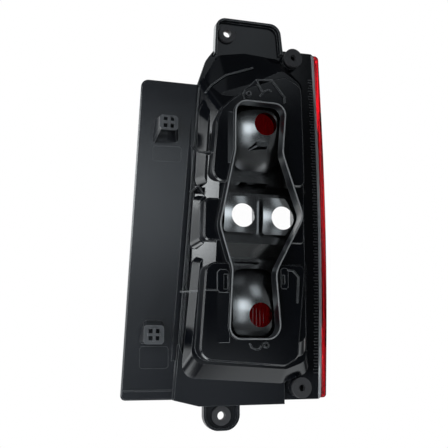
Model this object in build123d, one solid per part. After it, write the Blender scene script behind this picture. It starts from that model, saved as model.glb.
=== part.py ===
import math
import os
from build123d import *

os.makedirs("parts", exist_ok=True)

# All sizes in mm. The lamp is drawn lying on its lens: u across, v up the lamp, w towards the
# vehicle side. stand_up() turns that to X across, Y towards the lens and Z up.
# The origin is the lower tab's screw hole, at the tab's vehicle-side face.

WALL = 2.5
RING_T = 3.0
APRON_W = 8.0
LEDGE_W = 16.0
PLATEAU_W = 36.0
MIDDLE_W = 31.0
RAMP_W = 30.0
RIM_W = 42.0
RIM_R = 0.8
COLLAR_T = 2.0
EDGE = 1.6

LAMP_RIGHT = 123.0
LAMP_TOP = 440.0
LAMP_FOOT = 15.0
BOW = 7.0
BOW_V = 205.0
BOW_R = 4200.0
RAIL_T = 3.0
RAIL_RISE = 1.4
RAIL_END = 5.0
SKIRT_FOOT = 11.0
SKIRT_END = 74.0
CREASE_LOW = (-55.5, 18.0)
CREASE_HIGH = (-29.5, 382.0)

FLANGE_LOW = 56.0
FLANGE_HIGH = 66.0
FLANGE_TILT = 6.0
FLANGE_DROP = 1.4
FLANGE_T = 2.5
FLANGE_LIP = 6.0
FLANGE_LAP = 17.0
CHANNEL_LAP = 4.5
CHANNEL_RISE = 0.6
CHANNEL_LOW = 60.0
CHANNEL_HIGH = 378.0

TAB_HOLE_D = 9.0
WASHER_D = 21.5
WASHER_CLEAR = 0.6
WASHER_T = 4.0
SEAT_GAP = 0.2
TAB_RIM = 6.0
TAB_RIM_T = 2.5
LOWER_TAB_HALF = 21.0
LOWER_TAB_FOOT = -16.0
LOWER_TAB = (0.0, 0.0)
UPPER_TAB = (7.0, 450.0)

PIN_D = 7.0
PIN_DEPTH = 8.0
BOSS_D = 21.0
GROMMET_LIP = 1.25
UPPER_PIN = (91.0, 427.0)
LOWER_PIN = (93.0, 29.0)
UPPER_BOSS_W = 7.0
LOWER_BOSS_W = 11.0

TOWER_W = 28.0
TOWER_T = 2.0
TOWER_MARK = 0.4
CROSS_SPAN = 14.0
CROSS_BAR = 2.8
CROSS_RISE = 1.6

BULB_HOLE_D = 27.5
UPPER_BULB = (47.6, 333.5)
LOWER_BULB = (39.5, 110.5)
LEFT_BULB = (19.5, 223.5)
RIGHT_BULB = (68.0, 222.5)
REFLECTOR_T = 1.8
BOWL_W = 26.0
BOWL_CORNER = 18.0
DOME_R = 85.0
CUP_W = 25.0
CUP_FOOT = 4.0
CUP_R = 4.0
CUP_DRAFT = 1.5
SHELF_W = 10.0
BAR_T = 2.4
BAR_SLOPE = 1.8
HOOD_W = 25.5

SPIGOT_D = 6.4
SPIGOT_HOLE_D = 3.8
RIB_T = 1.4
RIB_RISE = 2.5
PAD_RISE = 1.8

SEAM = 0.5
LENS_STEP = 1.5
LEFT_STEP = 4.4
LENS_T = 3.0
LENS_RIGHT = 130.3
BEAD_W = 6.0
LENS_CROWN = 34.0
LENS_SIDE = 20.0
WINDOW_LOW = 186.0
WINDOW_HIGH = 263.0


def inset(points, d):
    """Move the sides of a counter-clockwise polygon inwards, all by d or each by its own distance."""
    n = len(points)
    moves = d if isinstance(d, list) else [d] * n
    out = []
    for i in range(n):
        ax, ay = points[i - 1]
        px, py = points[i]
        bx, by = points[(i + 1) % n]
        l1 = math.hypot(px - ax, py - ay)
        l2 = math.hypot(bx - px, by - py)
        n1 = (-(py - ay) / l1, (px - ax) / l1)
        n2 = (-(by - py) / l2, (bx - px) / l2)
        m1, m2 = moves[i - 1], moves[i]
        turn = n1[0] * n2[1] - n1[1] * n2[0]
        out.append((px + (m1 * n2[1] - m2 * n1[1]) / turn, py + (m2 * n1[0] - m1 * n2[0]) / turn))
    return out


def loop(points, radii, w, cut=False):
    """Closed wire at height w, each corner rounded by its own radius, or cut straight across."""
    n = len(points)
    corners = []
    for i in range(n):
        p = Vector(points[i][0], points[i][1], w)
        a = Vector(points[i - 1][0], points[i - 1][1], w)
        b = Vector(points[(i + 1) % n][0], points[(i + 1) % n][1], w)
        da = (a - p).normalized()
        db = (b - p).normalized()
        half = math.acos(max(-1.0, min(1.0, da.dot(db)))) / 2
        r = radii[i]
        if r == 0:
            corners.append((p, p, p))
            continue
        mid = (da + db).normalized()
        reach = r / math.tan(half)
        tip = p + mid * (r / math.sin(half) - r)
        corners.append((p + da * reach, tip, p + db * reach))
    edges = []
    for i in range(n):
        start, tip, end = corners[i]
        if radii[i] > 0 and cut:
            edges.append(Edge.make_line(start, end))
        elif radii[i] > 0:
            edges.append(Edge.make_three_point_arc(start, tip, end))
        edges.append(Edge.make_line(end, corners[(i + 1) % n][0]))
    return Wire(edges)


def prism(points, radii, low, high, cut=False):
    """Straight block between two heights."""
    face = Face(loop(points, radii, low, cut))
    return Solid.extrude(face, Vector(0, 0, high - low))


def shrink(radii, d):
    return [max(r - d, 0.6) if r > 0 else 0 for r in radii]


def rect(u0, v0, u1, v1):
    return [(u0, v0), (u1, v0), (u1, v1), (u0, v1)]


def box(u0, v0, w0, u1, v1, w1):
    return prism(rect(u0, v0, u1, v1), [0] * 4, w0, w1)


def rod(pos, d, low, high):
    return Pos(pos[0], pos[1], (low + high) / 2) * Cylinder(d / 2, high - low)


def stand_up(shape, name):
    solid = Rot(90, 0, 0) * shape
    solid.label = name
    export_step(solid, "parts/" + name + ".step")


def crease(v):
    """Across position of the line where the flange meets the body."""
    t = (v - CREASE_LOW[1]) / (CREASE_HIGH[1] - CREASE_LOW[1])
    return CREASE_LOW[0] + t * (CREASE_HIGH[0] - CREASE_LOW[0])


# Outlines, counter-clockwise, seen from the vehicle side.

RING = [CREASE_LOW, (-27, SKIRT_FOOT), (SKIRT_END, SKIRT_FOOT), (SKIRT_END, LAMP_FOOT),
        (LAMP_RIGHT, LAMP_FOOT), (LAMP_RIGHT, LAMP_TOP), (-3, LAMP_TOP - 4), (-19, 414), CREASE_HIGH]
RING_R = [0, 6, 0, 0, 4, 5, 10, 30, 12]
BOWED = RING[:5] + [(LAMP_RIGHT + BOW, BOW_V)] + RING[5:]
BOWED_R = RING_R[:5] + [BOW_R] + RING_R[5:]
STEPS = [LENS_STEP] * 7 + [LEFT_STEP, LENS_STEP]

PEANUT = [(-2, 85), (56.5, 85), (51, 158), (85.5, 222), (61, 295),
          (66, 353), (6, 353), (5.5, 295), (-12.5, 208), (2, 160)]
PEANUT_R = [12, 14, 25, 18, 25, 12, 14, 30, 25, 20]

UPPER_FOOT = [(-34, 252), (106, 252), (104, 396), (74, 427), (30, 429), (-5, 422), (-21, 392), (-30, 345)]
UPPER_SHOULDER = [(-34, 252.5), (105, 252.5), (103, 394), (74, 419), (40, 408), (2.5, 394), (-15.5, 379),
                  (-29.5, 345)]
UPPER_LEDGE = [(-25.5, 255), (99, 255), (97, 391), (73, 406), (39, 387), (0, 371.5), (-15, 356), (-20.5, 333)]
UPPER_PLATEAU = [(-22, 258), (92, 258), (90, 380), (68, 391), (22, 372.5), (1, 355.5), (-10, 345), (-16, 330)]
UPPER_R = [13, 8, 12, 10, 12, 14, 10, 14]

MIDDLE_FOOT = [(-39.3, 184), (100, 184), (100, 246), (-35.3, 246)]
MIDDLE_LEDGE = [(-30.6, 189.5), (94, 189.5), (94, 244), (-29.4, 244)]
MIDDLE_PLATEAU = [(-29.7, 191.3), (92, 191.3), (92, 240), (-28.7, 240)]
MIDDLE_R = [7, 5, 5, 7]

UPPER_TOWER_FOOT = [(-81.5, 306), (-50, 309), (-53, 337), (-78.8, 337)]
UPPER_TOWER_FACE = rect(-80.4, 315, -59.2, 331.5)
UPPER_MARK = rect(-80.4, 286, -48, 304)
LOWER_TOWER_FOOT = [(-92.2, 78.6), (-64, 78.6), (-66, 104.4), (-86.5, 104.4)]
LOWER_TOWER_FACE = rect(-93.7, 78.2, -72, 98.4)
LOWER_MARK = rect(-91.3, 52, -60, 75.6)

LOWER_FOOT = [(-48, 42), (70, 34), (104, 46), (106, 178), (-35.3, 178)]
LOWER_LEDGE = inset(LOWER_FOOT, [16.2, 14, 6, 2, 6.8])
LOWER_PLATEAU = [(-35.5, 61.5), (64, 53.8), (80, 62), (91, 167.5), (-28, 167.5)]
LOWER_R = [15, 12, 12, 8, 13]

RAMP_FOOT = [(-43.3, 46), (104, 46), (104, 392), (-27, 392)]
RAMP_TOP = inset(RAMP_FOOT, [34, 12, 47, 22])
RAMP_R = [10, 10, 10, 10]


def stack(levels, radii, d):
    """Ruled body through outlines at rising heights, moved inwards by d all round."""
    body = None
    for (low, low_w), (high, high_w) in zip(levels, levels[1:]):
        step = Solid.make_loft([loop(inset(low, d), shrink(radii, d), low_w, d > 0),
                                loop(inset(high, d), shrink(radii, d), high_w, d > 0)], True)
        body = step if body is None else body + step
    return body


def chambers(d):
    """The stepped chambers; d is 0 for the outside and the wall for the inside."""
    foot = APRON_W - d
    ledge = LEDGE_W - d
    body = stack([(UPPER_FOOT, 0), (UPPER_SHOULDER, foot), (UPPER_LEDGE, ledge)], UPPER_R, d)
    body = body + stack([(LOWER_FOOT, 0), (LOWER_FOOT, foot), (LOWER_LEDGE, ledge)], LOWER_R, d)
    body = body + stack([(MIDDLE_FOOT, 0), (MIDDLE_FOOT, foot), (MIDDLE_LEDGE, ledge)], MIDDLE_R, d)
    body = body + stack([(RAMP_FOOT, 0), (RAMP_TOP, RAMP_W - d)], RAMP_R, d)
    for outline, radii, high in ((UPPER_PLATEAU, UPPER_R, PLATEAU_W), (LOWER_PLATEAU, LOWER_R, PLATEAU_W),
                                 (MIDDLE_PLATEAU, MIDDLE_R, MIDDLE_W)):
        top = prism(inset(outline, d), shrink(radii, d), ledge - 2 * WALL, high - d, d > 0)
        if not d:
            top = chamfer(top.faces().sort_by(Axis.Z)[-1].edges(), EDGE)
        body = body + top
    if d:
        for outline, radii in ((UPPER_FOOT, UPPER_R), (LOWER_FOOT, LOWER_R), (MIDDLE_FOOT, MIDDLE_R),
                               (RAMP_FOOT, RAMP_R)):
            body = body + prism(inset(outline, d), shrink(radii, d), -RING_T - 1, 0, True)
    return body


def strip(points, t, low, high):
    """Thin standing wall along an open line of points."""
    left = []
    right = []
    n = len(points)
    for i in range(n):
        a = Vector(*points[max(i - 1, 0)])
        p = Vector(*points[i])
        b = Vector(*points[min(i + 1, n - 1)])
        d1 = (p - a).normalized() if i > 0 else (b - p).normalized()
        d2 = (b - p).normalized() if i < n - 1 else d1
        n1 = Vector(-d1.Y, d1.X)
        n2 = Vector(-d2.Y, d2.X)
        off = (n1 + n2) * (t / 2 / (1 + n1.dot(n2)))
        left.append(((p + off).X, (p + off).Y))
        right.append(((p - off).X, (p - off).Y))
    outline = right + left[::-1]
    return prism(outline, [0] * len(outline), low, high)


def fin(start, end, start_w, end_w, t):
    """Thin plate standing along a line, its top sloping from one height to another."""
    a = Vector(*start)
    b = Vector(*end)
    along = (b - a).normalized()
    corners = [(a, -1), (b, -1), (b, end_w), (a, start_w)]
    wire = Wire.make_polygon([Vector(p.X, p.Y, w) for p, w in corners], close=True)
    return Solid.extrude(Face(wire), Vector(-along.Y, along.X, 0) * t)


def wedge(u0, u1, v0, v1, rise):
    """Shallow slope on the plateau, rising towards the collar."""
    corners = [(u0, PLATEAU_W - 1), (u1, PLATEAU_W - 1), (u1, PLATEAU_W + rise), (u0, PLATEAU_W)]
    wire = Wire.make_polygon([Vector(u, v0, w) for u, w in corners], close=True)
    return Solid.extrude(Face(wire), Vector(0, v1 - v0, 0))


def ring(pos, outer_d, inner_d, low, high):
    return rod(pos, outer_d, low, high) - rod(pos, inner_d, low - 1, high + 1)


TILT = math.radians(FLANGE_TILT)
FLANGE_RISE = CREASE_HIGH[1] - CREASE_LOW[1]
FLANGE_LEAN = (CREASE_HIGH[0] - CREASE_LOW[0]) / math.cos(TILT)
FLANGE_PLANE = Plane(origin=(CREASE_LOW[0], CREASE_LOW[1], -FLANGE_DROP),
                     x_dir=(math.cos(TILT), 0, math.sin(TILT)),
                     z_dir=(-math.sin(TILT), 0, math.cos(TILT)))


def on_flange(points):
    """Points of the lamp's outline as points on the tilted flange."""
    return [((u - CREASE_LOW[0]) / math.cos(TILT), v - CREASE_LOW[1]) for u, v in points]


def flange():
    lap = RING_T
    outline = [(-FLANGE_LOW, 0), (lap, 0), (FLANGE_LEAN + lap, FLANGE_RISE),
               (FLANGE_LEAN - FLANGE_HIGH, FLANGE_RISE + 2)]
    inner = inset(outline, FLANGE_T)
    for corner in (1, 2):
        inner[corner] = (inner[corner][0] + FLANGE_LAP, inner[corner][1])
    plate = prism(outline, [5, 0, 0, 9], -FLANGE_LIP, 0)
    seen = plate.faces().sort_by(Axis.Z)[-1].edges().sort_by(Axis.X)[:-1]
    plate = chamfer(seen, FLANGE_T * 0.6)
    plate = plate - prism(inner, [3, 0, 0, 7], -FLANGE_LIP - 1, -FLANGE_T, True)
    ridge = prism(rect(-FLANGE_LOW + lap, 9.5, 0, 11), [0] * 4, -1, CHANNEL_RISE)
    plate = plate + ridge
    for mark in (UPPER_MARK, LOWER_MARK):
        plate = plate - prism(on_flange(mark), [2] * 4, -TOWER_MARK, TOWER_W, True)
    return FLANGE_PLANE * plate


def tower(foot, face):
    """Clip tower: a hollow post open on its lower side, with a cross-shaped locating pin on top."""
    low = -FLANGE_LIP
    post = Solid.make_loft([loop(foot, [2.5] * 4, low, True), loop(face, [2.5] * 4, TOWER_W, True)], True)
    foot_in = inset(foot, TOWER_T)
    face_in = inset(face, TOWER_T)
    for corner in (0, 1):
        foot_in[corner] = (foot_in[corner][0], foot_in[corner][1] - 3 * TOWER_T)
        face_in[corner] = (face_in[corner][0], face_in[corner][1] - 3 * TOWER_T)
    hollow = [loop(foot_in, [0] * 4, low, True), loop(face_in, [0] * 4, TOWER_W - TOWER_T, True)]
    post = post - Solid.make_loft(hollow, True)
    above = prism(on_flange(rect(-200, 0, 0, LAMP_TOP)), [0] * 4, -FLANGE_T / 2, 2 * TOWER_W)
    post = post & (FLANGE_PLANE * above)
    u = (face[0][0] + face[2][0]) / 2
    v = (face[0][1] + face[2][1]) / 2
    reach = CROSS_SPAN / 2
    half = CROSS_BAR / 2
    pocket = reach - 1 - half
    for du in (-reach + 1, half):
        for dv in (-reach + 1, half):
            post = post - box(u + du, v + dv, TOWER_W - 2 * TOWER_T, u + du + pocket, v + dv + pocket,
                              TOWER_W + 1)
    for du, dv in ((reach, half), (half, reach)):
        post = post + box(u - du, v - dv, TOWER_W - TOWER_T, u + du, v + dv, TOWER_W + CROSS_RISE)
    return post


def tabs():
    low = [(-LOWER_TAB_HALF, LOWER_TAB_FOOT), (LOWER_TAB_HALF, LOWER_TAB_FOOT),
           (LOWER_TAB_HALF, SKIRT_FOOT + 3), (-LOWER_TAB_HALF, SKIRT_FOOT + 3)]
    low_in = inset(low, TAB_RIM_T)
    low_in[2] = (low_in[2][0], SKIRT_FOOT + 5)
    low_in[3] = (low_in[3][0], SKIRT_FOOT + 5)
    lower = prism(low, [17, 17, 0, 0], -RING_T, TAB_RIM - 1)
    lower = lower - prism(low_in, [14.5, 14.5, 0, 0], 0, TAB_RIM)
    top = [(-9.5, LAMP_TOP - 18), (79, LAMP_TOP - 8), (75, LAMP_TOP + 30), (-7.5, LAMP_TOP + 28.5)]
    top_in = inset(top, TAB_RIM_T)
    top_in[0] = (top_in[0][0], LAMP_TOP - 30)
    top_in[1] = (top_in[1][0], LAMP_TOP - 20)
    upper = prism(top, [0, 0, 14, 13], -RING_T, TAB_RIM)
    upper = upper - prism(top_in, [0, 0, 11.5, 10.5], 0, TAB_RIM + 1)
    return lower, upper


SKIRT = [CREASE_LOW, (-27, SKIRT_FOOT), (SKIRT_END, SKIRT_FOOT), (SKIRT_END, 36), (-10, 46), (-31, 48),
         (-43, 58), (crease(78) + 1, 78)]
SKIRT_R = [0, 6, 0, 0, 0, 8, 8, 0]
SKIRT_POCKET = [(-42, 24), (-24, SKIRT_FOOT + 6.5), (SKIRT_END - 6, SKIRT_FOOT + 6.5), (SKIRT_END - 6, 33),
                (-10, 42), (-30, 44.5), (-44, 52)]
LAND = LENS_STEP + LENS_T + SEAM
BOSSES = [(UPPER_PIN, UPPER_BOSS_W), (LOWER_PIN, LOWER_BOSS_W)]
GROMMET_D = BOSS_D + 2 * GROMMET_LIP


def channel_floor():
    """Flat strip beside the chambers, a little higher than the flange."""
    low, high = CHANNEL_LOW, CHANNEL_HIGH
    outline = [(crease(low) - CHANNEL_LAP, low), (crease(low) + RING_T, low), (crease(high) + RING_T, high),
               (crease(high) - CHANNEL_LAP, high)]
    return prism(outline, [0] * 4, -RING_T, CHANNEL_RISE)


def channel_rib(offset):
    low, high = CHANNEL_LOW, CHANNEL_HIGH
    return strip([(crease(low) + offset, low), (crease(high) + offset, high)], RIB_T, -1, RIB_RISE)


def weld_rail():
    """Low rail along the lens side of the ring, with a sloping inner flank."""
    gap = SEAM / 2
    low, high = LAMP_FOOT + RAIL_END, LAMP_TOP - RAIL_END
    lower = LAMP_RIGHT + BOW * RAIL_END / (BOW_V - LAMP_FOOT) - gap
    upper = LAMP_RIGHT + BOW * RAIL_END / (LAMP_TOP - BOW_V) - gap
    middle = LAMP_RIGHT + BOW - gap
    levels = []
    for w, t in ((-1, RAIL_T), (0, RAIL_T), (RAIL_RISE, RAIL_T - RAIL_RISE)):
        outline = [(lower - t, low), (lower, low), (middle, BOW_V), (upper, high), (upper - t, high),
                   (middle - t, BOW_V)]
        levels.append(loop(outline, [0, 0, BOW_R, 0, 0, BOW_R], w))
    return Solid.make_loft(levels[:2], True) + Solid.make_loft(levels[1:], True)


def surface_details():
    """Latch pads, baffles, vent spigots and ribs that stand on the chambers."""
    low = PLATEAU_W - 1
    high = PLATEAU_W + RIB_RISE
    pad_top = PLATEAU_W + PAD_RISE
    pad = prism(rect(-15.6, 134, -2.2, 159), [3] * 4, low, pad_top, True)
    pad = pad - box(-8.2, 137.7, PLATEAU_W + SEAT_GAP, -3.6, 153.9, high)
    catch = prism(rect(59.2, 139.3, 68, 162.6), [2] * 4, low, pad_top, True)
    catch = catch - box(60.8, 144.8, PLATEAU_W + SEAT_GAP, 63.8, 154.8, high)
    parts = [pad, catch, wedge(-15.4, -1.5, 80, 134, PAD_RISE), wedge(-3, 4.5, 280, 340, PAD_RISE / 2)]
    for pos in ((21.4, 362.9), (40, 77.2)):
        parts.append(ring(pos, SPIGOT_D, SPIGOT_HOLE_D, low, high + 1.5))
    for line in ([(67, 160.5), (74.7, 159.7), (80.8, 153), (79, 123.8)],
                 [(38.2, 365), (41, 368.5), (45.5, 371), (50, 370)],
                 [(17, 357.6), (15.4, 363), (17.4, 367.4)],
                 [(21.5, 79), (24, 74.6), (29, 72.4), (33, 73), (35, 76)]):
        parts.append(strip(line, RIB_T, low, high))
    for line in ([(51.1, 383.4), (31.7, 381), (39.5, 366.5), (36.1, 362.7)],
                 [(51.1, 383.4), (66.9, 363.9), (66.8, 357.3)]):
        parts.append(strip(line, RIB_T, LEDGE_W - 1, high))
    parts.append(fin((-37.4, 306.3), (-30.5, 296), RIB_RISE, APRON_W + 4, RIB_T))
    parts.append(fin((-30.5, 296), (-17, 291), APRON_W + 4, PLATEAU_W, RIB_T))
    parts.append(fin((-48, 135.5), (-32, 135.5), RIB_RISE / 2, LEDGE_W + RIB_T, RIB_T))
    parts.append(box(-29, 135.7, low, -15, 137, PLATEAU_W + PAD_RISE / 2))
    parts.append(strip([(-37.5, 250.7), (-30.4, 255.9), (-23.2, 244.7)], RIB_T, -1, LEDGE_W - 2))
    parts.append(strip([(-22, 370), (-14, 380.5), (3, 394.5), (38, 408)], RIB_T, APRON_W - 4,
                       APRON_W + PAD_RISE))
    return parts


def fused(first, others):
    body = first
    for piece in others:
        body = body + piece
    return body


def collar():
    """Raised rim round the bulb carrier's opening, with a rounded top."""
    foot = RAMP_W - WALL
    wall = prism(inset(PEANUT, -COLLAR_T), [r + COLLAR_T for r in PEANUT_R], foot, RIM_W)
    wall = wall - prism(PEANUT, PEANUT_R, foot - 1, RIM_W + 1)
    return fillet(wall.faces().sort_by(Axis.Z)[-1].edges(), RIM_R)


def rear_housing():
    lower_tab, upper_tab = tabs()
    skirt = prism(SKIRT, SKIRT_R, -1, APRON_W)
    body = fused(prism(BOWED, BOWED_R, -RING_T, 0), [upper_tab, lower_tab, skirt, chambers(0)])
    towers = [tower(UPPER_TOWER_FOOT, UPPER_TOWER_FACE), tower(LOWER_TOWER_FOOT, LOWER_TOWER_FACE)]
    body = fused(body, [flange(), channel_floor(), channel_rib(2.4), channel_rib(5.2), weld_rail()] + towers)
    body = fused(body, [rod(pos, BOSS_D, -1, w) for pos, w in BOSSES])
    body = fused(body, surface_details())
    body = body - chambers(WALL)
    body = body - prism(BOWED, BOWED_R, -RING_T - 20, -RING_T)
    body = body - prism(SKIRT_POCKET, [4] * 7, -RING_T - 1, APRON_W - WALL, True)
    body = body - prism(PEANUT, PEANUT_R, -RING_T - 1, RIM_W + 6)
    body = body + collar()
    for pos in (UPPER_TAB, LOWER_TAB):
        body = body - rod(pos, TAB_HOLE_D, -RING_T - 1, 1)
        body = body - rod(pos, WASHER_D + 2 * SEAT_GAP, 0, APRON_W + 1)
    for pos, w in BOSSES:
        body = body - rod(pos, PIN_D, w - PIN_DEPTH, w + 1)
        body = body - rod(pos, GROMMET_D + 2 * SEAT_GAP, w, RIM_W)
    return body


UPPER_BOWL = [(11, 281), (70, 279), (72, 359), (14, 355)]
LOWER_BOWL = [(8, 84), (63, 84), (64, 165), (8.5, 163.5)]
MID_FOOT = rect(-8, 177, 92, 263)
MID_SHELF = rect(-5, 193, 89, 252)
LEFT_CUP = [(-2.5, 204.5), (36, 203), (36, 246.5), (-1.5, 244.5)]
RIGHT_CUP = [(44.5, 203), (84.5, 202.3), (84.5, 245), (45.5, 246)]
HOOD_FOOT = [(21.4, 299.4), (49.4, 300.8), (56, 313), (34, 314)]
HOOD_TOP = [(35, 305), (49, 306), (54, 311), (37, 311.5)]
BARS = [(20.5, 263.3, 55), (14, 169.5, 43.6)]


def dome(bulb, top, d):
    """Ball with its top over a bulb; d makes it smaller."""
    return Pos(bulb[0], bulb[1], top - DOME_R) * Rot(0, 90, 0) * Sphere(DOME_R - d)


def bowl(outline, bulb, d):
    """Reflector bowl domed round a bulb; d moves its faces inwards."""
    foot = -RING_T - REFLECTOR_T - (1 if d else 0)
    return prism(inset(outline, d), shrink([BOWL_CORNER] * 4, d), foot, BOWL_W) & dome(bulb, BOWL_W, d)


def centre_block(d):
    """Two domed cups standing on a sloping foot; d moves the faces inwards."""
    foot = -RING_T - REFLECTOR_T - (1 if d else 0)
    radii = [CUP_R] * 4
    body = prism(inset(MID_FOOT, d), shrink(radii, d), foot, CUP_FOOT, d > 0)
    body = body + stack([(MID_FOOT, CUP_FOOT), (MID_SHELF, SHELF_W - d)], radii, d)
    for cup, bulb in ((LEFT_CUP, LEFT_BULB), (RIGHT_CUP, RIGHT_BULB)):
        walls = stack([(inset(cup, -CUP_DRAFT), SHELF_W - d - 1), (cup, CUP_W)], radii, d)
        body = body + (walls & dome(bulb, CUP_W, d))
    return body


def bowls(d):
    return bowl(UPPER_BOWL, UPPER_BULB, d) + bowl(LOWER_BOWL, LOWER_BULB, d) + centre_block(d)


def lens_profile(d):
    """Side-on crown of the lens, as a block along the lamp; d moves its front inwards."""
    left = CREASE_LOW[0] - 15
    right = LENS_RIGHT + 15
    mid = (left + right) / 2
    back = -RING_T + (1 if d else 0)
    side = -LENS_SIDE + d
    edges = [Edge.make_line((left, -40, back), (right, -40, back)),
             Edge.make_line((right, -40, back), (right, -40, side)),
             Edge.make_three_point_arc((right, -40, side), (mid, -40, -LENS_CROWN + d), (left, -40, side)),
             Edge.make_line((left, -40, side), (left, -40, back))]
    return Solid.extrude(Face(Wire(edges)), Vector(0, LAMP_TOP + 80, 0))


LENS = inset(BOWED, STEPS[:5] + [LENS_STEP] + STEPS[5:])
for corner, out in ((4, 0), (5, BOW), (6, 0)):
    LENS[corner] = (LENS_RIGHT + out, LENS[corner][1])
LENS_R = [2] + BOWED_R[1:]
FRONT = -LENS_CROWN - 5


def reflector():
    edge = inset(RING, [step + LENS_T + SEAM for step in STEPS])
    plate = prism(edge, shrink(RING_R, LAND), -RING_T - REFLECTOR_T, -RING_T, True)
    hood = stack([(HOOD_FOOT, SHELF_W + CUP_FOOT), (HOOD_TOP, HOOD_W)], [2] * 4, 0)
    outer = fused(plate, [bowls(0), hood])
    for u, v, end in BARS:
        bar = box(u, v, -RING_T - 1, end, v + BAR_T, SHELF_W)
        below = bar.edges().filter_by(Axis.X).group_by(Axis.Z)[-1].sort_by(Axis.Y)[0]
        outer = outer + chamfer(below, BAR_SLOPE)
    for v in (WINDOW_LOW - 5, WINDOW_HIGH + 3):
        wall = box(crease(v) + LAND + 2, v, FRONT, LAMP_RIGHT - LAND - 1, v + 2, -RING_T - REFLECTOR_T)
        outer = outer + (wall & lens_profile(LENS_T + 1))
    body = outer - bowls(REFLECTOR_T)
    for pos in (UPPER_BULB, LOWER_BULB, LEFT_BULB, RIGHT_BULB):
        body = body - rod(pos, BULB_HOLE_D, -RING_T, BOWL_W + 5)
    return body


def lenses():
    skin = prism(LENS, LENS_R, FRONT, -RING_T) & lens_profile(0)
    inside = prism(inset(LENS, LENS_T), shrink(LENS_R, LENS_T), FRONT, -RING_T + 1)
    skin = skin - (inside & lens_profile(LENS_T))
    side = LAMP_RIGHT - LAND + SEAM
    right = LENS_RIGHT + 2 * BOW
    rail = box(side, 0, -RING_T - BEAD_W, right, LAMP_TOP, -1)
    bead = prism(LENS, LENS_R, -RING_T - BEAD_W, -1) & rail
    bead = bead - prism(inset(BOWED, -SEAM), BOWED_R, -RING_T, 0)
    pane = prism([(crease(WINDOW_LOW) + 11, WINDOW_LOW), (LAMP_RIGHT - 9, WINDOW_LOW),
                  (LAMP_RIGHT - 9, WINDOW_HIGH), (crease(WINDOW_HIGH) + 11, WINDOW_HIGH)],
                 [6] * 4, FRONT, -RING_T - BEAD_W - 2)
    window = skin & pane
    return (skin - pane) + bead, window


outer, window = lenses()
stand_up(rear_housing(), "rear_housing")
stand_up(reflector(), "reflector")
stand_up(outer, "outer_lens")
stand_up(window, "clear_window")
for name, pos in (("upper_tab_washer", UPPER_TAB), ("lower_tab_washer", LOWER_TAB)):
    stand_up(ring(pos, WASHER_D, TAB_HOLE_D + WASHER_CLEAR, 0, WASHER_T), name)
for name, (pos, w) in zip(("upper_pin_grommet", "lower_pin_grommet"), BOSSES):
    stand_up(ring(pos, GROMMET_D, PIN_D + WASHER_CLEAR, w, w + WASHER_T), name)
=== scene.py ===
import math
import bpy
import bmesh
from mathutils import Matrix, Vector


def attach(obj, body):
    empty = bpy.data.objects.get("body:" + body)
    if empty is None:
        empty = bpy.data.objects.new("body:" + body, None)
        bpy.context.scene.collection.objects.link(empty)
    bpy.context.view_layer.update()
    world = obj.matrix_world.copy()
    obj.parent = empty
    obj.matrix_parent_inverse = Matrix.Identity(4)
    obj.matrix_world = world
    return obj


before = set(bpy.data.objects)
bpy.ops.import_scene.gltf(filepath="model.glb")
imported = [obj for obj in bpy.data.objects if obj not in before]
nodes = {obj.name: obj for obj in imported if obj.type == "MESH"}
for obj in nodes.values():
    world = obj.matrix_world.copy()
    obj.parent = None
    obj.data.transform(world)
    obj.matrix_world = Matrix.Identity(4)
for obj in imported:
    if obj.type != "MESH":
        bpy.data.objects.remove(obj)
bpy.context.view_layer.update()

# Crease between the chambers and the flange, and the grained skirt at the bottom
CREASE_X = -0.0555
CREASE_Z = 0.018
CREASE_LEAN = 0.0714
CREASE_SOFT = (-0.001, 0.002)
SKIRT_Z = (0.052, 0.038)
SKIRT_Y = (-0.0105, -0.0075)

# Bowed edge of the weld ring, the rail along it and the lens bead beyond it
RING_MIDDLE_Z = 0.2275
RING_PEAK_X = 0.1277
RING_BOW = 0.104
RAIL_T = 0.0033
RAIL_SOFT = 0.0003
BEAD_X = 0.1185
BEAD_SOFT = 0.002
# Span beyond the ring's edge over which painted shade darkens the bead's outer rim
BEAD_RIM_SHADE_SPAN = (0.0042, 0.0064)

# Heights of the collar's rim and the clip towers' tips, where a painted highlight lightens them
RIM_Y = -0.0419
RIM_SOFT = 0.0003
TIP_Y = -0.0275
TIP_SOFT = 0.0008

# Painted highlight lines along the housing's edges
EDGE_R = 0.0011
EDGE_TURN = (0.985, 0.86)
EDGE_SAMPLES = 6
HIGHLIGHT_ON_GRAIN = 0.4

# How far a face leans away from the lamp's axis, as the size of its normal's Y
HOUSING_WALL = (0.5, 0.3)
# On the reflector this lean sets where painted shade darkens the steep walls
REFLECTOR_SHADE_LEAN = (0.92, 0.76)

# Row of ticks
TICK_LOW = 0.045
TICK_HIGH = 0.412
TICK_PITCH = 0.0036
TICK_L = 0.006
TICK_L_CHANGE = 0.14
TICK_L_WAVE = 2.1
TICK_T = 0.0018
TICK_GAP = 0.0012
TICK_RISE = 0.0006
TICK_TOP_L = 0.9
TICK_TOP_T = 0.5

# Colours
CHAMBER = (0.0018, 0.0022, 0.0034, 1)
# Greyer than the chambers, partly for the grain and partly as painted light for the lighter shade of the
# flange and skirt
FLANGE_GRAIN_AND_LIGHT = (0.008, 0.009, 0.0115, 1)
RAIL = (0.32, 0.32, 0.33, 1)
# Painted highlight of the lines along the edges
EDGE_HIGHLIGHT = (0.16, 0.165, 0.17, 1)
# Painted highlight along the collar's rim
RIM_HIGHLIGHT = (0.17, 0.174, 0.178, 1)
# Painted highlight on the clip towers' tips
TIP_HIGHLIGHT = (0.07, 0.073, 0.078, 1)
COAT_DARK = (0.34, 0.345, 0.345, 1)
COAT_LIGHT = (0.42, 0.425, 0.425, 1)
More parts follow.
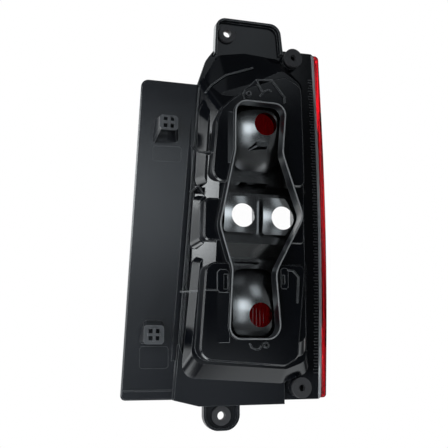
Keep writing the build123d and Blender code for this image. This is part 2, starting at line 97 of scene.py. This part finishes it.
# Painted shade on the reflector's steep walls
STEEP_WALL_SHADE = (0.03, 0.031, 0.033, 1)
RED_SKIN = (0.45, 0.004, 0.008, 1)
RED_BEAD = (0.37, 0.004, 0.008, 1)
# Painted shade along the lens bead's outer rim
RED_RIM_SHADE = (0.03, 0.0004, 0.0008, 1)
COLOURLESS = (0.995, 0.995, 0.995, 1)
RUBBER_DARK = (0.02, 0.02, 0.022, 1)
RUBBER_LIGHT = (0.036, 0.036, 0.039, 1)
WHITE = (1, 1, 1, 1)

# Roughness and tone, where a pair is a lowest and a highest value
HOUSING_TONE = (0.75, 1.25)
HOUSING_ROUGH = (0.11, 0.28)
HOUSING_ROUGH_FLOW = 0.08
GRAIN_SHARE = 0.55
REFLECTOR_ROUGH = (0.17, 0.25)
LENS_ROUGH = (0.02, 0.05)
RUBBER_ROUGH = (0.55, 0.75)
FLOOR_ROUGH = 0.8

# Lens
RED_CLEARNESS = 0.24
RED_IOR = 1.49
CLEAR_IOR = 1.2
FLUTE_SCALE = 70.0

# Stage
FLOOR_Z = -0.60
FLOOR_R = 3.0
FLOOR_X = 0.02
FLOOR_COLOUR = (0.86, 0.86, 0.86, 1)
FLOOR_BEHIND = (0.2, 0.8)
FLOOR_FADE = (0.3, 1.4)
FLOOR_NEAR_WHITE = 0.6
WORLD_COLOUR = (0.85, 0.93, 1.0, 1)
WORLD_LEVEL = 0.04
WORLD_BEHIND = (0.45, 0.8)
COOL = (0.86, 0.94, 1.0)
PALE = (0.94, 0.98, 1.0)
GRID_ANGLE = math.radians(50)
CENTRE = Vector((0.02, -0.03, 0.22))
CAMERA_AT = (-0.24351, -0.76205, 0.08277)
CAMERA_RISE = 9.437
CAMERA_TURN = -18
LENS_MM = 56.08
SENSOR_MM = 36.0


# Material helpers

def new_material(name):
    mat = bpy.data.materials.new(name)
    mat.use_nodes = True
    tree = mat.node_tree
    tree.nodes.clear()
    out = tree.nodes.new("ShaderNodeOutputMaterial")
    bsdf = tree.nodes.new("ShaderNodeBsdfPrincipled")
    tree.links.new(bsdf.outputs["BSDF"], out.inputs["Surface"])
    return mat, tree, bsdf


def add(tree, kind, **inputs):
    node = tree.nodes.new(kind)
    for key, value in inputs.items():
        node.inputs[key].default_value = value
    return node


def object_coords(tree):
    return tree.nodes.new("ShaderNodeTexCoord").outputs["Object"]


def split(tree, vector):
    """The X, Y and Z of a vector."""
    node = tree.nodes.new("ShaderNodeSeparateXYZ")
    tree.links.new(vector, node.inputs[0])
    return node.outputs


def math_node(tree, op, a, b=None, c=None):
    node = tree.nodes.new("ShaderNodeMath")
    node.operation = op
    for i, value in enumerate((a, b, c)):
        if value is None:
            continue
        if isinstance(value, (int, float)):
            node.inputs[i].default_value = value
        else:
            tree.links.new(value, node.inputs[i])
    return node.outputs[0]


def step_between(tree, value, start, end):
    """0 at the start and 1 at the end, with a soft change. The start may be the higher of the two."""
    node = tree.nodes.new("ShaderNodeMapRange")
    node.interpolation_type = "SMOOTHSTEP"
    node.inputs["From Min"].default_value = start
    node.inputs["From Max"].default_value = end
    tree.links.new(value, node.inputs["Value"])
    return node.outputs["Result"]


def between(tree, share, first, last):
    """The first value where the share is 0, and the last one where it is 1."""
    return math_node(tree, "MULTIPLY_ADD", share, last - first, first)


def mix_colour(tree, factor, a, b):
    node = tree.nodes.new("ShaderNodeMix")
    node.data_type = "RGBA"
    for socket, value in ((node.inputs[0], factor), (node.inputs[6], a), (node.inputs[7], b)):
        if isinstance(value, (int, float, tuple)):
            socket.default_value = value
        else:
            tree.links.new(value, socket)
    return node.outputs[2]


def noise(tree, coords, scale, detail=3.0, roughness=0.5):
    node = add(tree, "ShaderNodeTexNoise", Scale=scale, Detail=detail, Roughness=roughness)
    tree.links.new(coords, node.inputs["Vector"])
    return node.outputs["Fac"]


def bump(tree, height, strength, distance):
    node = add(tree, "ShaderNodeBump", Strength=strength, Distance=distance)
    tree.links.new(height, node.inputs["Height"])
    return node.outputs["Normal"]


def beyond_ring(tree, x, z):
    """How far a point lies outside the ring's bowed edge beside the lens."""
    off = math_node(tree, "SUBTRACT", z, RING_MIDDLE_Z)
    bow = math_node(tree, "MULTIPLY", math_node(tree, "MULTIPLY", off, off), RING_BOW)
    return math_node(tree, "SUBTRACT", math_node(tree, "ADD", x, bow), RING_PEAK_X)


def edge_share(tree, radius):
    """0 on flat faces, rising to 1 along the edges."""
    rounded = add(tree, "ShaderNodeBevel", Radius=radius)
    rounded.samples = EDGE_SAMPLES
    dot = tree.nodes.new("ShaderNodeVectorMath")
    dot.operation = "DOT_PRODUCT"
    tree.links.new(rounded.outputs["Normal"], dot.inputs[0])
    tree.links.new(tree.nodes.new("ShaderNodeNewGeometry").outputs["Normal"], dot.inputs[1])
    return step_between(tree, dot.outputs["Value"], *EDGE_TURN)


def wall_share(tree, lean):
    """0 on faces across the lamp's axis, rising to 1 on walls along it."""
    face = split(tree, tree.nodes.new("ShaderNodeTexCoord").outputs["Normal"])
    return step_between(tree, math_node(tree, "ABSOLUTE", face[1]), *lean)


# Materials of the lamp

def flange_share(tree, x, z):
    """1 on the flange's side of the crease."""
    line = math_node(tree, "MULTIPLY_ADD", z, CREASE_LEAN, CREASE_X - CREASE_Z * CREASE_LEAN)
    return step_between(tree, math_node(tree, "SUBTRACT", line, x), *CREASE_SOFT)


def housing_colour(tree, place, flange, grained):
    """Black, with a grey rail, painted highlights on the towers' tips and the collar's rim, and painted
    highlight lines along the edges.
    """
    x, y, z = place
    # Flange and skirt greyer, partly grain and partly painted light
    base = mix_colour(tree, grained, CHAMBER, FLANGE_GRAIN_AND_LIGHT)
    # Painted highlight on the clip towers' tips
    tip_highlight = math_node(tree, "MULTIPLY", flange, step_between(tree, y, TIP_Y + TIP_SOFT, TIP_Y))
    base = mix_colour(tree, tip_highlight, base, TIP_HIGHLIGHT)
    rail = step_between(tree, beyond_ring(tree, x, z), -RAIL_T - RAIL_SOFT, -RAIL_T)
    base = mix_colour(tree, rail, base, RAIL)
    # Painted highlight along the collar's rim
    base = mix_colour(tree, step_between(tree, y, RIM_Y + RIM_SOFT, RIM_Y), base, RIM_HIGHLIGHT)
    # Painted highlight lines along the edges, weaker on the grained flange and skirt
    kept = between(tree, grained, 1.0, HIGHLIGHT_ON_GRAIN)
    edge_highlight = math_node(tree, "MULTIPLY", edge_share(tree, EDGE_R), kept)
    return mix_colour(tree, edge_highlight, base, EDGE_HIGHLIGHT)


def housing_material():
    """Black moulded plastic: glossy on the chambers, more matt on the flange and skirt, which are greyer
    partly from their grain and partly as painted light for the lighter shade they take.
    """
    mat, tree, bsdf = new_material("black_plastic")
    coords = object_coords(tree)
    x, y, z = split(tree, coords)
    flange = flange_share(tree, x, z)
    skirt = math_node(tree, "MULTIPLY", step_between(tree, z, *SKIRT_Z), step_between(tree, y, *SKIRT_Y))
    grained = math_node(tree, "MAXIMUM", flange, skirt)
    flow = noise(tree, coords, scale=38.0, detail=4.0, roughness=0.55)
    toned = tree.nodes.new("ShaderNodeVectorMath")
    toned.operation = "SCALE"
    tree.links.new(housing_colour(tree, (x, y, z), flange, grained), toned.inputs[0])
    tree.links.new(between(tree, flow, *HOUSING_TONE), toned.inputs["Scale"])
    tree.links.new(toned.outputs[0], bsdf.inputs["Base Color"])
    matt = math_node(tree, "MULTIPLY", grained, GRAIN_SHARE)
    matt = math_node(tree, "MAXIMUM", matt, wall_share(tree, HOUSING_WALL))
    rough = between(tree, matt, *HOUSING_ROUGH)
    rough = math_node(tree, "MULTIPLY_ADD", flow, HOUSING_ROUGH_FLOW, rough)
    tree.links.new(rough, bsdf.inputs["Roughness"])
    grain = noise(tree, coords, scale=2600.0, detail=2.0, roughness=0.6)
    tree.links.new(bump(tree, grain, strength=0.12, distance=0.0002), bsdf.inputs["Normal"])
    return mat


def reflector_material():
    """Dark metallised plastic, with painted shade darkening its steep walls."""
    mat, tree, bsdf = new_material("dark_metallised")
    coords = object_coords(tree)
    flow = noise(tree, coords, scale=60.0)
    base = mix_colour(tree, flow, COAT_DARK, COAT_LIGHT)
    # Painted shade on the steep walls
    base = mix_colour(tree, wall_share(tree, REFLECTOR_SHADE_LEAN), base, STEEP_WALL_SHADE)
    tree.links.new(base, bsdf.inputs["Base Color"])
    bsdf.inputs["Metallic"].default_value = 1.0
    tree.links.new(between(tree, flow, *REFLECTOR_ROUGH), bsdf.inputs["Roughness"])
    waves = noise(tree, coords, scale=220.0, detail=2.0)
    tree.links.new(bump(tree, waves, strength=0.05, distance=0.0003), bsdf.inputs["Normal"])
    return mat


def polish(tree, bsdf, coords):
    """Nearly smooth surface of a moulded lens."""
    rough = between(tree, noise(tree, coords, scale=30.0), *LENS_ROUGH)
    tree.links.new(rough, bsdf.inputs["Roughness"])


def flutes(tree, bsdf, coords):
    """Upright flutes, side by side across the lens."""
    wave = add(tree, "ShaderNodeTexWave", Scale=FLUTE_SCALE)
    wave.bands_direction = "X"
    wave.wave_profile = "SIN"
    tree.links.new(coords, wave.inputs["Vector"])
    tree.links.new(bump(tree, wave.outputs["Fac"], strength=0.35, distance=0.0012), bsdf.inputs["Normal"])


def red_lens_material():
    """Red acrylic: pigmented, fluted skin, and a clear bright bead along the edge, with painted shade
    darkening its outer rim.
    """
    mat, tree, bsdf = new_material("red_lens")
    coords = object_coords(tree)
    x, _, z = split(tree, coords)
    bead = step_between(tree, x, BEAD_X - BEAD_SOFT, BEAD_X)
    tint = mix_colour(tree, bead, RED_SKIN, RED_BEAD)
    # Painted shade along the bead's outer rim
    rim_shade = step_between(tree, beyond_ring(tree, x, z), *BEAD_RIM_SHADE_SPAN)
    tree.links.new(mix_colour(tree, rim_shade, tint, RED_RIM_SHADE), bsdf.inputs["Base Color"])
    tree.links.new(between(tree, bead, RED_CLEARNESS, 1.0), bsdf.inputs["Transmission Weight"])
    bsdf.inputs["IOR"].default_value = RED_IOR
    polish(tree, bsdf, coords)
    flutes(tree, bsdf, coords)
    return mat


def clear_lens_material():
    """Colourless acrylic of the window."""
    mat, tree, bsdf = new_material("clear_lens")
    bsdf.inputs["Base Color"].default_value = COLOURLESS
    bsdf.inputs["Transmission Weight"].default_value = 1.0
    bsdf.inputs["IOR"].default_value = CLEAR_IOR
    polish(tree, bsdf, object_coords(tree))
    return mat


def rubber_material():
    """Matte dark rubber of the sealing rings."""
    mat, tree, bsdf = new_material("seal_rubber")
    coords = object_coords(tree)
    flow = noise(tree, coords, scale=400.0, detail=4.0, roughness=0.6)
    tree.links.new(mix_colour(tree, flow, RUBBER_DARK, RUBBER_LIGHT), bsdf.inputs["Base Color"])
    tree.links.new(between(tree, flow, *RUBBER_ROUGH), bsdf.inputs["Roughness"])
    grain = noise(tree, coords, scale=1800.0, detail=2.0)
    tree.links.new(bump(tree, grain, strength=0.2, distance=0.0002), bsdf.inputs["Normal"])
    return mat


# Pieces of the lamp

def dress(name, mat):
    """Give a CAD node its material."""
    obj = nodes[name]
    obj.data.materials.clear()
    obj.data.materials.append(mat)


def ring_edge(z):
    """Across position of the ring's bowed edge beside the lens, at a height."""
    return RING_PEAK_X - RING_BOW * (z - RING_MIDDLE_Z) ** 2


def land_ticks(mat):
    """Row of low moulded ticks on the land beside the weld rail."""
    mesh = bpy.data.meshes.new("land_ticks")
    bm = bmesh.new()
    count = int((TICK_HIGH - TICK_LOW) / TICK_PITCH)
    for i in range(count):
        z = TICK_LOW + i * TICK_PITCH
        length = TICK_L * (1 - TICK_L_CHANGE + TICK_L_CHANGE * math.sin(TICK_L_WAVE * i))
        middle = ring_edge(z) - RAIL_T - TICK_GAP - length / 2
        for v in bmesh.ops.create_cube(bm, size=1.0)["verts"]:
            top = v.co.y < 0
            x = middle + v.co.x * length * (TICK_TOP_L if top else 1.0)
            high = z + v.co.z * TICK_T * (TICK_TOP_T if top else 1.0)
            v.co = (x, -TICK_RISE if top else TICK_RISE, high)
    bm.to_mesh(mesh)
    bm.free()
    obj = bpy.data.objects.new("land_ticks", mesh)
    bpy.context.collection.objects.link(obj)
    obj.data.materials.append(mat)
    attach(obj, "root")


black = housing_material()
rubber = rubber_material()
dress("rear_housing", black)
dress("reflector", reflector_material())
dress("outer_lens", red_lens_material())
dress("clear_window", clear_lens_material())
for name in ("upper_tab_washer", "lower_tab_washer", "upper_pin_grommet", "lower_pin_grommet"):
    dress(name, rubber)
land_ticks(black)


# Stage

def seen_rays(tree, behind):
    """1 where the white background is seen: by the camera, through glass, and in gloss from behind."""
    path = tree.nodes.new("ShaderNodeLightPath").outputs
    gloss = math_node(tree, "MULTIPLY", path["Is Glossy Ray"], behind)
    through = math_node(tree, "MAXIMUM", path["Is Transmission Ray"], gloss)
    return math_node(tree, "MAXIMUM", path["Is Camera Ray"], through)


def mix_shaders(tree, factor, first, second):
    node = tree.nodes.new("ShaderNodeMixShader")
    tree.links.new(factor, node.inputs[0])
    tree.links.new(first.outputs[0], node.inputs[1])
    tree.links.new(second.outputs[0], node.inputs[2])
    return node.outputs[0]


def floor_material():
    """Pale floor that is white where it is seen, and keeps some of the object's shadow near the middle."""
    mat, tree, bsdf = new_material("pale_floor")
    bsdf.inputs["Base Color"].default_value = FLOOR_COLOUR
    bsdf.inputs["Roughness"].default_value = FLOOR_ROUGH
    coords = object_coords(tree)
    length = tree.nodes.new("ShaderNodeVectorMath")
    length.operation = "LENGTH"
    tree.links.new(coords, length.inputs[0])
    seen = seen_rays(tree, step_between(tree, split(tree, coords)[1], *FLOOR_BEHIND))
    far = step_between(tree, length.outputs["Value"], *FLOOR_FADE)
    far = between(tree, far, FLOOR_NEAR_WHITE, 1.0)
    white = add(tree, "ShaderNodeEmission", Color=WHITE, Strength=1.0)
    out = next(n for n in tree.nodes if n.type == "OUTPUT_MATERIAL")
    mixed = mix_shaders(tree, math_node(tree, "MULTIPLY", seen, far), bsdf, white)
    tree.links.new(mixed, out.inputs["Surface"])
    return mat


def pale_floor():
    place = (FLOOR_X, 0, FLOOR_Z)
    bpy.ops.mesh.primitive_circle_add(vertices=96, radius=FLOOR_R, fill_type="NGON", location=place)
    obj = bpy.context.object
    obj.name = "floor"
    obj.data.materials.append(floor_material())


def studio_world():
    """Dim cool room, with a white background where it is seen."""
    world = bpy.data.worlds.new("studio")
    bpy.context.scene.world = world
    world.use_nodes = True
    tree = world.node_tree
    tree.nodes.clear()
    out = tree.nodes.new("ShaderNodeOutputWorld")
    soft = add(tree, "ShaderNodeBackground", Color=WORLD_COLOUR, Strength=WORLD_LEVEL)
    white = add(tree, "ShaderNodeBackground", Color=WHITE, Strength=1.0)
    way = split(tree, tree.nodes.new("ShaderNodeTexCoord").outputs["Generated"])
    seen = seen_rays(tree, step_between(tree, way[1], *WORLD_BEHIND))
    tree.links.new(mix_shaders(tree, seen, soft, white), out.inputs["Surface"])


def softbox(name, azimuth, elevation, distance, size, level, colour):
    """Gridded area lamp facing the object; level is the brightness of its face, seen straight on."""
    turn, rise = math.radians(azimuth), math.radians(elevation)
    away = Vector((math.sin(turn) * math.cos(rise), -math.cos(turn) * math.cos(rise), math.sin(rise)))
    data = bpy.data.lights.new(name, "AREA")
    data.shape = "RECTANGLE"
    data.size, data.size_y = size
    data.spread = 2 * GRID_ANGLE
    data.energy = 4 * level * size[0] * size[1] * (1 - GRID_ANGLE / math.tan(GRID_ANGLE))
    data.color = colour
    obj = bpy.data.objects.new(name, data)
    bpy.context.collection.objects.link(obj)
    obj.location = CENTRE + away * distance
    obj.rotation_euler = (-away).to_track_quat("-Z", "Y").to_euler()
    obj.visible_camera = False


def photo_camera():
    """Camera at the photograph's viewpoint, below the lamp's middle and to its left."""
    data = bpy.data.cameras.new("camera")
    data.lens = LENS_MM
    data.sensor_width = SENSOR_MM
    camera = bpy.data.objects.new("camera", data)
    bpy.context.collection.objects.link(camera)
    camera.location = CAMERA_AT
    camera.rotation_euler = (math.radians(90 + CAMERA_RISE), 0.0, math.radians(CAMERA_TURN))
    bpy.context.scene.camera = camera


pale_floor()
studio_world()

# Lamps: azimuth and elevation in degrees, distance, width and height, level, colour
softbox("front_key", -6.0, 13.0, 1.2, (0.44, 0.34), 1.4, COOL)
softbox("front_soft", -11.0, 5.0, 1.25, (0.32, 0.86), 0.7, COOL)
softbox("front_low", 14.0, -12.0, 1.25, (0.36, 0.18), 0.55, COOL)
softbox("high_right", 20.0, 36.0, 1.2, (0.30, 0.40), 0.6, COOL)
softbox("top_soft", -20.0, 60.0, 1.0, (0.40, 0.36), 0.15, COOL)
softbox("left_key", -55.0, 0.0, 0.9, (0.56, 0.90), 4.2, PALE)
softbox("left_soft", -92.0, 1.0, 0.9, (0.60, 0.86), 2.2, PALE)
softbox("left_edge", -97.0, 16.0, 0.88, (0.20, 0.30), 7.0, PALE)
softbox("left_rim", -130.0, 5.0, 0.9, (0.60, 1.00), 2.0, PALE)
softbox("low_left", -56.0, -62.0, 0.55, (0.34, 0.30), 5.8, PALE)
softbox("low_right", 62.0, -58.0, 0.55, (0.36, 0.36), 1.6, PALE)
softbox("lens_side", 205.0, 25.0, 1.4, (0.80, 0.80), 1.8, PALE)
softbox("right_fill", 80.0, 8.0, 1.0, (0.45, 0.84), 0.8, PALE)

photo_camera()
bpy.context.scene.view_settings.view_transform = "Standard"
